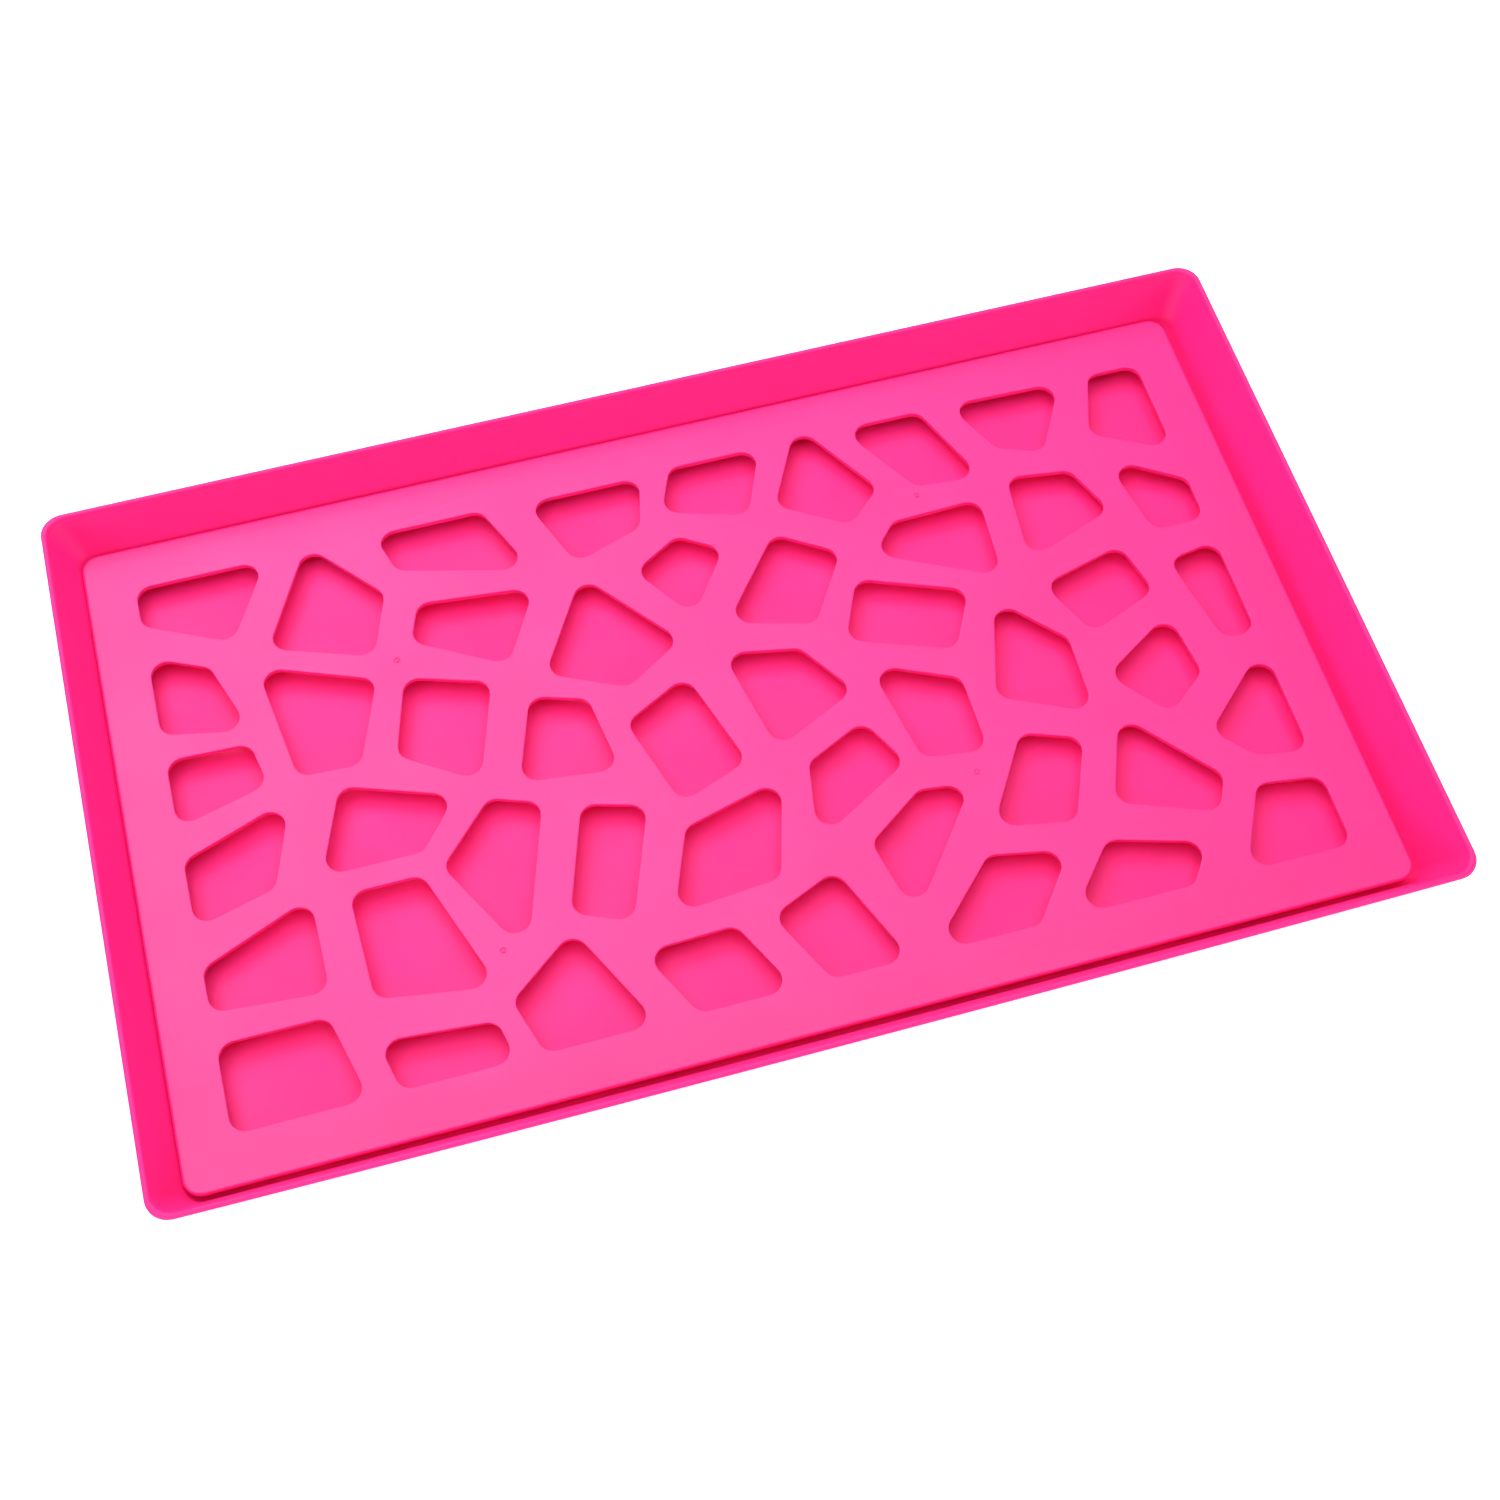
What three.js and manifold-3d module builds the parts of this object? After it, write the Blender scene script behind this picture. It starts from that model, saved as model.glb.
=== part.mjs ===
// A shallow moulded plastic drip tray with a lift-out draining insert.
//
// The tray is one thin shell: a flat floor, walls that lean outwards and a rounded lip. The insert is
// one flat plate with a rounded edge, pierced by 49 four-sided openings of different shapes, like flat
// pebbles, and it stands on feet moulded under it, so that water drains through it onto the tray floor.
//
// Millimetres, +X along the length, +Y across the width, +Z up. The origin is the middle of the
// tray's underside.

import * as THREE from 'three';
import { mergeVertices } from 'three/addons/utils/BufferGeometryUtils.js';
import Module from 'manifold-3d';

// ---- driving dimensions -------------------------------------------------------------------------

const tray = {
  length: 410, // over the lip
  width: 250, // over the lip
  height: 25,
  wall: 2, // wall thickness, measured level
  floor: 2, // floor thickness
  lean: THREE.MathUtils.degToRad(21.5), // of the walls, away from upright
  fillet: 5, // inside, between floor and wall
  lipCorner: 10, // plan radius of the corners at the lip
  floorCorner: 5, // plan radius of the corners at the floor
};

const insert = {
  plate: 2.5, // plate thickness
  shoulder: 2, // rounding of the plate's upper edge
  corner: 6, // plan radius of the plate's corners
  border: 16, // solid margin round the openings
  openingCorner: 5, // rounding of the openings' corners
};

const foot = {
  height: 4.7,
  topRadius: 3,
  tipRadius: 2.5,
  inset: 10, // of the outer feet, from the plate's edge
  spacing: 125, // longest pitch of the outer feet
};

const mark = {
  radius: 1, // round moulding marks on the plate's upper face
  depth: 0.3,
};

const endClearance = 1.8; // between the centred plate's lower edge and the tray wall, at each end
const sideClearance = 1.1; // the same, along each side
const wallGap = 0.3; // left at the far left corner, where the loose insert lies against the walls
const restGap = 0.3; // between the tips of the feet and the tray floor

// ---- sizes that follow --------------------------------------------------------------------------

const slope = Math.tan(tray.lean);
const footTip = tray.floor + restGap;
const plateUnderside = footTip + foot.height;
const plateTop = plateUnderside + insert.plate;

// How far the tray's inside wall stands in from the outer edge of the lip, at height z.
const wallInset = (z) => tray.wall + (tray.height - z) * slope;

const plateLength = tray.length - 2 * (wallInset(plateUnderside) + endClearance);
const plateWidth = tray.width - 2 * (wallInset(plateUnderside) + sideClearance);
const fieldLength = plateLength - 2 * insert.border;
const fieldWidth = plateWidth - 2 * insert.border;

// Where the insert's middle lies from the tray's.
const insertShift = { x: wallGap - endClearance, y: sideClearance - wallGap };

// The openings' corners, row by row from the far side and from left to right in each row, drawn on a
// field of this size about the middle of the plate, and stretched to the real field.
const drawnField = { length: 356, width: 198 };

const openings = [
  // along the far edge
  [[-178, 99], [-178, 84], [-150, 70], [-134, 99]],
  [[-120, 101], [-139, 64], [-106, 52], [-98, 75]],
  [[-97, 99], [-92, 83], [-48, 71], [-60, 99]],
  [[-44, 98], [-33, 70], [-9, 78], [-4, 98]],
  [[7, 99], [0, 82], [28, 73], [39, 99]],
  [[54, 105], [38, 74], [61, 60], [74, 72]],
  [[69, 99], [87, 69], [110, 67], [97, 99]],
  [[108, 99], [119, 77], [134, 71], [149, 98]],
  [[160, 98], [152, 74], [178, 60], [178, 98]],
  // upper row
  [[-178, 71], [-178, 41], [-150, 35], [-159, 62]],
  [[-144, 58], [-138, 14], [-118, 13], [-107, 43]],
  [[-88, 68], [-93, 54], [-64, 37], [-49, 64]],
  [[-33, 64], [-53, 30], [-28, 18], [-7, 31]],
  [[2, 71], [-15, 61], [0, 39], [16, 62]],
  [[34, 63], [10, 33], [38, 25], [54, 50]],
  [[75, 57], [65, 46], [104, 26], [106, 58]],
  [[118, 64], [115, 30], [148, 42], [140, 61]],
  [[153, 63], [160, 30], [178, 30], [178, 47]],
  // middle row
  [[-178, 31], [-178, 6], [-148, 14], [-151, 30]],
  [[-98, 41], [-106, 13], [-82, -3], [-71, 32]],
  [[-60, 23], [-70, -7], [-38, -11], [-42, 17]],
  [[-9, 17], [-32, 5], [-22, -28], [2, -19]],
  [[5, 22], [13, -17], [43, -3], [30, 17]],
  [[56, 38], [46, 16], [80, 3], [91, 24]],
  [[98, 18], [87, -18], [116, -32], [117, -3]],
  [[146, 27], [116, 19], [126, -3], [151, 7]],
  [[160, 17], [167, -17], [178, -17], [178, 20]],
  // lower row
  [[-142, 7], [-178, -6], [-178, -30], [-152, -23]],
  [[-126, 7], [-137, -23], [-105, -23], [-91, -6]],
  [[-81, -10], [-100, -30], [-81, -66], [-65, -16]],
  [[-53, -20], [-65, -56], [-47, -64], [-33, -26]],
  [[11, -28], [-23, -37], [-34, -65], [1, -62]],
  [[42, -15], [21, -25], [16, -53], [51, -33]],
  [[50, 5], [57, -33], [78, -36], [78, -8]],
  [[90, -33], [71, -63], [97, -68], [109, -40]],
  [[152, -3], [125, -20], [140, -39], [155, -27]],
  [[178, -23], [150, -49], [161, -61], [178, -64]],
  // along the near edge
  [[-142, -29], [-178, -44], [-178, -59], [-142, -62]],
  [[-178, -70], [-178, -99], [-137, -99], [-144, -70]],
  [[-130, -31], [-129, -68], [-92, -74], [-107, -31]],
  [[-131, -82], [-127, -99], [-92, -99], [-95, -85]],
  [[-66, -62], [-89, -80], [-83, -99], [-48, -99]],
  [[-17, -74], [-47, -75], [-35, -99], [-5, -99]],
  [[18, -64], [-5, -74], [7, -99], [32, -99]],
  [[52, -44], [32, -58], [38, -86], [69, -46]],
  [[66, -72], [39, -99], [74, -99], [91, -77]],
  [[104, -77], [85, -99], [125, -99], [134, -86]],
  [[123, -35], [111, -65], [142, -77], [148, -65]],
  [[157, -71], [143, -99], [178, -99], [178, -74]],
];

// The round moulding marks, drawn on the same field. Each lies over a foot.
const marks = [[-99, 48], [86, 65], [72, -43], [-88, -63]];

// ---- helpers ------------------------------------------------------------------------------------

const wasm = await Module();
wasm.setup();

// A closed three.js geometry as a manifold solid.
function solidOf(geometry) {
  geometry.deleteAttribute('normal');
  geometry.deleteAttribute('uv');
  const merged = mergeVertices(geometry, 1e-4);
  const mesh = new wasm.Mesh({
    numProp: 3,
    vertProperties: new Float32Array(merged.attributes.position.array),
    triVerts: new Uint32Array(merged.index.array),
  });
  return new wasm.Manifold(mesh);
}

// A manifold solid as a three.js geometry.
function geometryOf(solid) {
  const mesh = solid.getMesh();
  const geometry = new THREE.BufferGeometry();
  geometry.setAttribute('position', new THREE.BufferAttribute(mesh.vertProperties, 3));
  geometry.setIndex(new THREE.BufferAttribute(mesh.triVerts, 1));
  geometry.computeVertexNormals();
  return geometry;
}

// A closed outline through the corners, each rounded by an arc that touches both of its sides. The
// radius gives way where a side is too short for it.
function roundedOutline(corners, radius) {
  const points = corners.map(([x, y]) => new THREE.Vector2(x, y));
  if (THREE.ShapeUtils.area(points) < 0) points.reverse();
  const outline = new THREE.Shape();
  points.forEach((corner, i) => {
    const before = points.at(i - 1).clone().sub(corner);
    const after = points[(i + 1) % points.length].clone().sub(corner);
    const half = Math.acos(before.dot(after) / (before.length() * after.length())) / 2;
    const room = 0.49 * Math.min(before.length(), after.length()) * Math.tan(half);
    const r = Math.min(radius, room);
    const middle = before.normalize().add(after.normalize()).setLength(r / Math.sin(half));
    const centre = corner.clone().add(middle);
    const turn = Math.PI / 2 - half;
    const towards = Math.atan2(-middle.y, -middle.x);
    outline.absarc(centre.x, centre.y, r, towards - turn, towards + turn, false);
  });
  outline.closePath();
  return outline;
}

function roundedRectangle(length, width, radius) {
  const x = length / 2;
  const y = width / 2;
  return roundedOutline([[-x, -y], [x, -y], [x, y], [-x, y]], radius);
}

// A closed body through level outlines with the same number of points, capped at both ends.
function loft(levels) {
  const rings = levels.map(({ outline, z }) => {
    const points = outline.extractPoints(4).shape;
    return points.map((p) => new THREE.Vector3(p.x, p.y, z));
  });
  const count = rings[0].length;
  const index = [];
  for (let level = 1; level < rings.length; level += 1) {
    for (let i = 0; i < count; i += 1) {
      const next = (i + 1) % count;
      const lower = (level - 1) * count;
      const upper = level * count;
      index.push(lower + i, lower + next, upper + next);
      index.push(lower + i, upper + next, upper + i);
    }
  }
  const cap = THREE.ShapeUtils.triangulateShape(rings[0].map((p) => new THREE.Vector2(p.x, p.y)), []);
  const last = (rings.length - 1) * count;
  for (const [a, b, c] of cap) {
    index.push(c, b, a);
    index.push(last + a, last + b, last + c);
  }
  const geometry = new THREE.BufferGeometry().setFromPoints(rings.flat());
  geometry.setIndex(index);
  geometry.computeVertexNormals();
  return geometry;
}

// ---- tray ---------------------------------------------------------------------------------------

// The wall's section, from the underside over the lip to the floor: x is the distance in from the
// outer edge of the lip, y the height.
function traySection() {
  const section = new THREE.Path();
  const lipRadius = tray.wall / 2;
  const cornerReach = (radius) => radius * Math.tan((Math.PI / 2 - tray.lean) / 2);
  const outerFillet = tray.fillet + tray.floor;
  const outerFoot = tray.height * slope + cornerReach(outerFillet);
  section.absarc(outerFoot, outerFillet, outerFillet, 1.5 * Math.PI, Math.PI + tray.lean, true);
  section.absarc(lipRadius, tray.height - lipRadius, lipRadius, Math.PI, 0, true);
  const innerFoot = wallInset(tray.floor) + cornerReach(tray.fillet);
  const filletTop = tray.floor + tray.fillet;
  section.absarc(innerFoot, filletTop, tray.fillet, Math.PI + tray.lean, 1.5 * Math.PI, false);
  return section.getPoints(3);
}

function trayGeometry() {
  const section = traySection();
  const deepest = Math.max(...section.map((p) => p.x));
  const levels = section.map((p) => {
    const corner = THREE.MathUtils.lerp(tray.lipCorner, tray.floorCorner, p.x / deepest);
    return { outline: roundedRectangle(tray.length - 2 * p.x, tray.width - 2 * p.x, corner), z: p.y };
  });
  return loft(levels);
}

// ---- insert -------------------------------------------------------------------------------------

// A point drawn on the pattern's own field, on the real plate.
function onPlate([x, y]) {
  return [(x * fieldLength) / drawnField.length, (y * fieldWidth) / drawnField.width];
}

// The plate with its upper edge rounded, before it is pierced.
function blankPlate() {
  const edge = new THREE.Path();
  edge.moveTo(0, plateUnderside);
  edge.absarc(insert.shoulder, plateTop - insert.shoulder, insert.shoulder, Math.PI, Math.PI / 2, true);
  const levels = edge.getPoints(3).map((p) => {
    const corner = Math.max(insert.corner - p.x / 2, 1);
    return { outline: roundedRectangle(plateLength - 2 * p.x, plateWidth - 2 * p.x, corner), z: p.y };
  });
  return solidOf(loft(levels));
}

// One prism for each opening, running past both faces of the plate.
function openingCutters() {
  const shapes = openings.map((corners) => roundedOutline(corners.map(onPlate), insert.openingCorner));
  const options = { depth: 3 * insert.plate, bevelEnabled: false, curveSegments: 2 };
  const prisms = shapes.map((shape) => {
    const prism = new THREE.ExtrudeGeometry(shape, options);
    prism.translate(0, 0, plateUnderside - insert.plate);
    return solidOf(prism);
  });
  return wasm.Manifold.union(prisms);
}

// Where the feet stand: evenly along the border, and one under each mark.
function footPlaces() {
  const x = plateLength / 2 - foot.inset;
  const y = plateWidth / 2 - foot.inset;
  const alongCount = Math.ceil((2 * x) / foot.spacing);
  const acrossCount = Math.ceil((2 * y) / foot.spacing);
  const places = marks.map(onPlate);
  for (let i = 0; i <= alongCount; i += 1) {
    const station = THREE.MathUtils.lerp(-x, x, i / alongCount);
    places.push([station, -y], [station, y]);
  }
  for (let i = 1; i < acrossCount; i += 1) {
    const station = THREE.MathUtils.lerp(-y, y, i / acrossCount);
    places.push([-x, station], [x, station]);
  }
  return places;
}

// A round peg or recess standing on end, between two heights.
function upright(topRadius, bottomRadius, low, high, [x, y]) {
  const geometry = new THREE.CylinderGeometry(topRadius, bottomRadius, high - low, 16);
  geometry.rotateX(Math.PI / 2);
  geometry.translate(x, y, (low + high) / 2);
  return solidOf(geometry);
}

function insertGeometry() {
  const rooted = plateUnderside + insert.plate / 2;
  const feet = footPlaces().map((at) => upright(foot.topRadius, foot.tipRadius, footTip, rooted, at));
  const floorOfMark = plateTop - mark.depth;
  const recesses = marks.map(onPlate).map((at) => {
    return upright(mark.radius, mark.radius, floorOfMark, plateTop + insert.plate, at);
  });
  const pierced = blankPlate().subtract(openingCutters());
  const standing = pierced.add(wasm.Manifold.union(feet));
  return geometryOf(standing.subtract(wasm.Manifold.union(recesses)));
}

// ---- assembly -----------------------------------------------------------------------------------

const trayPlastic = new THREE.MeshStandardMaterial({ color: 0xf5328c, roughness: 0.42, metalness: 0 });
const insertPlastic = new THREE.MeshStandardMaterial({ color: 0xf8489c, roughness: 0.45, metalness: 0 });

const trayMesh = new THREE.Mesh(trayGeometry(), trayPlastic);
trayMesh.name = 'tray';

const insertMesh = new THREE.Mesh(insertGeometry(), insertPlastic);
insertMesh.name = 'draining_insert';
insertMesh.position.set(insertShift.x, insertShift.y, 0);

const group = new THREE.Group();
group.name = 'drip_tray';
group.add(trayMesh, insertMesh);

export default group;
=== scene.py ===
"""The looks of a shallow moulded drip tray and its lift-out draining insert.

The tray is one thin shell with leaning walls and a rounded lip. The insert is one flat plate with a
rounded edge, pierced by four-sided openings, and it stands on short feet moulded under it. Both are
moulded in the same bright pink plastic, with a satin face. Everything is in metres, in the frame's axes:
+X along the tray, +Y to its far side, +Z up.
"""

import logging
import math
from dataclasses import dataclass, field
from enum import Enum, IntEnum

import bmesh
import bpy
from mathutils import Matrix, Vector


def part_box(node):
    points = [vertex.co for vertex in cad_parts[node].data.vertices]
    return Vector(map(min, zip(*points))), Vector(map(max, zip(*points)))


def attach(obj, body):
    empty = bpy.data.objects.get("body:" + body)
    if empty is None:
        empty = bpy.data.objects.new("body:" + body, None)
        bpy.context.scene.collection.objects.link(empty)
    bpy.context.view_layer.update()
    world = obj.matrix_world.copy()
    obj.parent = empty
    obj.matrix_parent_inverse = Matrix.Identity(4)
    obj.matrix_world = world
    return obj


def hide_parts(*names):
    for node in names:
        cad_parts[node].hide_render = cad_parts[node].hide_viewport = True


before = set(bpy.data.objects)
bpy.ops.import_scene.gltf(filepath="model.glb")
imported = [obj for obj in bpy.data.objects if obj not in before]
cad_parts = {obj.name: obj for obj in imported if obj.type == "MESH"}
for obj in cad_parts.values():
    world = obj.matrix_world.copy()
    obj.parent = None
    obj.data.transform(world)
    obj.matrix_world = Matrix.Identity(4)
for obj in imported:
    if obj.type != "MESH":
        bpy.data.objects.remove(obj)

LOG = logging.getLogger("drip_tray")

TRAY_NODE = "tray"
INSERT_NODE = "draining_insert"


class Body(Enum):
    """The bodies that the moulded pieces ride on."""

    TRAY = "tray_body"
    INSERT = "insert_body"


class Slot(Enum):
    """Names for a material slot for each finish; no piece here is given one."""

    TRAY = "tray_plastic"
    INSERT = "insert_plastic"


class PatternPart(IntEnum):
    """What a corner or point of the insert's pattern belongs to."""

    OUTLINE = 0
    OPENING = 1
    FOOT = 2
    MARK = 3


# ---- node trees ---------------------------------------------------------------------------------


@dataclass
class NodeBench:
    """A node tree being wired, with short calls to add nodes and join their sockets.

    Args:
        tree: The node tree to work on.
    """

    tree: bpy.types.NodeTree

    def add(self, kind: str, inputs: dict | None = None, **settings: object) -> bpy.types.Node:
        """Adds one node.

        Args:
            kind: The node's type name.
            inputs: Values or sockets for its inputs, by input name or number.
            settings: Its own properties, by name.

        Returns:
            The new node.
        """
        node = self.tree.nodes.new(kind)
        for name, value in settings.items():
            setattr(node, name, value)
        for name, value in (inputs or {}).items():
            self.feed(node.inputs[name], value)
        return node

    def feed(self, socket: bpy.types.NodeSocket, value: object) -> None:
        """Joins a socket to an output, or sets its value.

        Args:
            socket: The input to fill.
            value: An output socket, a list of output sockets, or a plain value.
        """
        if isinstance(value, bpy.types.NodeSocket):
            self.tree.links.new(value, socket)
        elif isinstance(value, list):
            for each in value:
                self.tree.links.new(each, socket)
        else:
            socket.default_value = value

    def math(self, operation: str, first: object, second: object = 0.0) -> bpy.types.NodeSocket:
        """The result of one sum.

        Args:
            operation: The Math node's operation.
            first: A number or an output.
            second: A number or an output.

        Returns:
            The output that holds the result.
        """
        return self.add("ShaderNodeMath", {0: first, 1: second}, operation=operation).outputs[0]

    def socket_in(self, name: str, kind: str, value: object = None) -> None:
        """Adds a named input to the tree's interface.

        Args:
            name: The input's name.
            kind: The socket's type name.
            value: What it holds if nothing is joined to it.
        """
        made = self.tree.interface.new_socket(name=name, in_out="INPUT", socket_type=kind)
        if value is not None:
            made.default_value = value

    def socket_out(self, name: str, kind: str) -> None:
        """Adds a named output to the tree's interface."""
        self.tree.interface.new_socket(name=name, in_out="OUTPUT", socket_type=kind)

    def lay_out(self) -> None:
        """Spreads the nodes in a readable grid, in the order they were added."""
        for number, node in enumerate(self.tree.nodes):
            node.location = (220 * (number // 6), -260 * (number % 6))


# ---- finishes -----------------------------------------------------------------------------------


class PlasticEffects:
    """The shader node groups that every moulded plastic here shares, each made once."""

    @staticmethod
    def _group(name: str) -> tuple[bpy.types.NodeTree, NodeBench]:
        """A new shader group with a Vector input, and a bench to wire it on."""
        tree = bpy.data.node_groups.new(name, "ShaderNodeTree")
        bench = NodeBench(tree)
        bench.socket_in("Vector", "NodeSocketVector")
        return tree, bench

    @staticmethod
    def mould_grain() -> bpy.types.NodeTree:
        """The fine satin face that a spark-eroded mould leaves, and the slow waves of its polish.

        Returns:
            A group that puts out Height, the grain in relief, and Satin, where the face is duller.
        """
        if "mould_grain" in bpy.data.node_groups:
            return bpy.data.node_groups["mould_grain"]
        tree, bench = PlasticEffects._group("mould_grain")
        bench.socket_in("Grain Scale", "NodeSocketFloat", 2600.0)
        bench.socket_in("Wave Scale", "NodeSocketFloat", 28.0)
        bench.socket_out("Height", "NodeSocketFloat")
        bench.socket_out("Satin", "NodeSocketFloat")
        given = bench.add("NodeGroupInput").outputs
        pits = bench.add(
            "ShaderNodeTexVoronoi",
            {"Vector": given["Vector"], "Scale": given["Grain Scale"], "Randomness": 1.0},
            feature="SMOOTH_F1",
        )
        grain = bench.add(
            "ShaderNodeTexNoise",
            {"Vector": given["Vector"], "Scale": given["Grain Scale"], "Detail": 3.0, "Roughness": 0.6},
        )
        waves = bench.add(
            "ShaderNodeTexNoise",
            {"Vector": given["Vector"], "Scale": given["Wave Scale"], "Detail": 2.0, "Roughness": 0.4},
        )
        pitted = bench.math("MULTIPLY", pits.outputs["Distance"], 0.5)
        fine = bench.math("ADD", pitted, grain.outputs["Fac"])
        satin = bench.math("ADD", bench.math("MULTIPLY", waves.outputs["Fac"], 0.7),
                           bench.math("MULTIPLY", grain.outputs["Fac"], 0.3))
        bench.add("NodeGroupOutput", {"Height": fine, "Satin": satin})
        bench.lay_out()
        return tree

    @staticmethod
    def pigment_flow() -> bpy.types.NodeTree:
        """The faint clouds and streaks of pigment that the melt leaves as it fills the mould.

        Returns:
            A group that puts out Streak, from 0 in the clear melt to 1 where pigment gathers.
        """
        if "pigment_flow" in bpy.data.node_groups:
            return bpy.data.node_groups["pigment_flow"]
        tree, bench = PlasticEffects._group("pigment_flow")
        bench.socket_in("Cloud Scale", "NodeSocketFloat", 14.0)
        bench.socket_in("Streak Scale", "NodeSocketFloat", 60.0)
        bench.socket_out("Streak", "NodeSocketFloat")
        given = bench.add("NodeGroupInput").outputs
        cloud = bench.add(
            "ShaderNodeTexNoise",
            {"Vector": given["Vector"], "Scale": given["Cloud Scale"], "Detail": 3.0, "Distortion": 0.8},
        )
        drawn = bench.add("ShaderNodeMapping", {"Vector": given["Vector"], "Scale": (0.22, 1.0, 1.0)})
        streak = bench.add(
            "ShaderNodeTexNoise",
            {"Vector": drawn.outputs[0], "Scale": given["Streak Scale"], "Detail": 4.0, "Distortion": 1.4},
        )
        both = bench.math("ADD", bench.math("MULTIPLY", cloud.outputs["Fac"], 0.6),
                          bench.math("MULTIPLY", streak.outputs["Fac"], 0.4))
        spread = bench.add(
            "ShaderNodeMapRange",
            {"Value": both, "From Min": 0.36, "From Max": 0.64, "To Min": 0.0, "To Max": 1.0},
        )
        bench.add("NodeGroupOutput", {"Streak": spread.outputs["Result"]})
        bench.lay_out()
        return tree

    @staticmethod
    def handling_scuffs() -> bpy.types.NodeTree:
        """Hair-fine scuffs from stacking and wiping, in two directions, with gaps between them.

        Returns:
            A group that puts out Scuff, from 0 on a clean face to 1 on a scuff.
        """
        if "handling_scuffs" in bpy.data.node_groups:
            return bpy.data.node_groups["handling_scuffs"]
        tree, bench = PlasticEffects._group("handling_scuffs")
        bench.socket_in("Scuff Scale", "NodeSocketFloat", 900.0)
        bench.socket_out("Scuff", "NodeSocketFloat")
        given = bench.add("NodeGroupInput").outputs
        where = bench.add("ShaderNodeTexNoise", {"Vector": given["Vector"], "Scale": 22.0, "Detail": 2.0})
        lines = []
        for turn in (math.radians(24.0), math.radians(-61.0)):
            drawn = bench.add(
                "ShaderNodeMapping",
                {"Vector": given["Vector"], "Rotation": (0.0, 0.0, turn), "Scale": (0.02, 1.0, 1.0)},
            )
            hair = bench.add(
                "ShaderNodeTexNoise",
                {"Vector": drawn.outputs[0], "Scale": given["Scuff Scale"], "Detail": 1.0},
            )
            sharp = bench.add(
                "ShaderNodeMapRange", {"Value": hair.outputs["Fac"], "From Min": 0.70, "From Max": 0.80}
            )
            lines.append(sharp.outputs["Result"])
        patch = bench.add(
            "ShaderNodeMapRange", {"Value": where.outputs["Fac"], "From Min": 0.52, "From Max": 0.68}
        )
        scuff = bench.math("MULTIPLY", bench.math("MAXIMUM", *lines), patch.outputs["Result"])
        bench.add("NodeGroupOutput", {"Scuff": scuff})
        bench.lay_out()
        return tree


@dataclass(frozen=True)
class MouldedPlastic:
    """A solid-coloured moulded plastic with a satin face.

    Args:
        name: The material's name.
        colour: The plastic's own colour, linear.
        deep_colour: Its colour where pigment gathers, linear.
        pale_colour: Its colour on a scuff, linear.
        roughness: How dull the face is where it is shiniest.
        satin_spread: How much duller it gets.
        scuff_roughness: How dull a scuff is.
        specular: How strongly the face mirrors, where 0.5 is usual for plastic.
        glow: How much of the light that enters runs on inside the plastic.
        glow_depth: How far light of each colour runs inside the plastic, in metres.
        grain_relief: The height of the moulded grain, in metres.
        grain_scale: How fine the grain is, in features per metre.
        pattern_turn: How far the pattern is turned about the upright, so that two pieces differ.
    """

    name: str
    colour: tuple[float, float, float]
    deep_colour: tuple[float, float, float]
    pale_colour: tuple[float, float, float]
    roughness: float
    satin_spread: float
    scuff_roughness: float
    specular: float
    glow: float
    glow_depth: tuple[float, float, float]
    grain_relief: float
    grain_scale: float
    pattern_turn: float

    REFRACTION = 1.5

    def build(self) -> bpy.types.Material:
        """Makes the material.

        Returns:
            The finished material.
        """
        material = bpy.data.materials.new(self.name)
        material.use_nodes = True
        bench = NodeBench(material.node_tree)
        bench.tree.nodes.clear()
        place = bench.add("ShaderNodeTexCoord").outputs["Object"]
        turned = bench.add(
            "ShaderNodeMapping", {"Vector": place, "Rotation": (0.0, 0.0, self.pattern_turn)}
        ).outputs[0]
        grain = bench.add("ShaderNodeGroup", node_tree=PlasticEffects.mould_grain())
        flow = bench.add("ShaderNodeGroup", node_tree=PlasticEffects.pigment_flow())
        scuffs = bench.add("ShaderNodeGroup", node_tree=PlasticEffects.handling_scuffs())
        for group in (grain, flow, scuffs):
            bench.feed(group.inputs["Vector"], turned)
        bench.feed(grain.inputs["Grain Scale"], self.grain_scale)
        body = self._mix(bench, flow.outputs["Streak"], (*self.colour, 1.0), (*self.deep_colour, 1.0))
        skin = self._mix(bench, scuffs.outputs["Scuff"], body, (*self.pale_colour, 1.0))
        satin = bench.add(
            "ShaderNodeMapRange",
            {
                "Value": grain.outputs["Satin"], "From Min": 0.3, "From Max": 0.7,
                "To Min": self.roughness, "To Max": self.roughness + self.satin_spread,
            },
        ).outputs["Result"]
        scuffed = bench.math("MULTIPLY", scuffs.outputs["Scuff"], self.scuff_roughness)
        dull = bench.math("MAXIMUM", satin, scuffed)
        relief = bench.add(
            "ShaderNodeBump",
            {"Height": grain.outputs["Height"], "Distance": self.grain_relief, "Strength": 1.0},
        )
        shader = bench.add(
            "ShaderNodeBsdfPrincipled",
            {"Base Color": skin, "Roughness": dull, "Normal": relief.outputs["Normal"]},
        )
        shader.inputs["IOR"].default_value = self.REFRACTION
        shader.inputs["Specular IOR Level"].default_value = self.specular
        shader.inputs["Subsurface Weight"].default_value = self.glow
        shader.inputs["Subsurface Scale"].default_value = 1.0
        shader.inputs["Subsurface Radius"].default_value = self.glow_depth
        bench.add("ShaderNodeOutputMaterial", {"Surface": shader.outputs["BSDF"]})
        bench.lay_out()
        return material

    @staticmethod
    def _mix(bench: NodeBench, share: object, first: object, second: object) -> bpy.types.NodeSocket:
        """One colour turning into another by a share, as an output."""
        node = bench.add("ShaderNodeMix", data_type="RGBA")
        bench.feed(node.inputs["Factor"], share)
        colours = [socket for socket in node.inputs if socket.type == "RGBA"]
        bench.feed(colours[0], first)
        bench.feed(colours[1], second)
        return next(socket for socket in node.outputs if socket.type == "RGBA")


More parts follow.
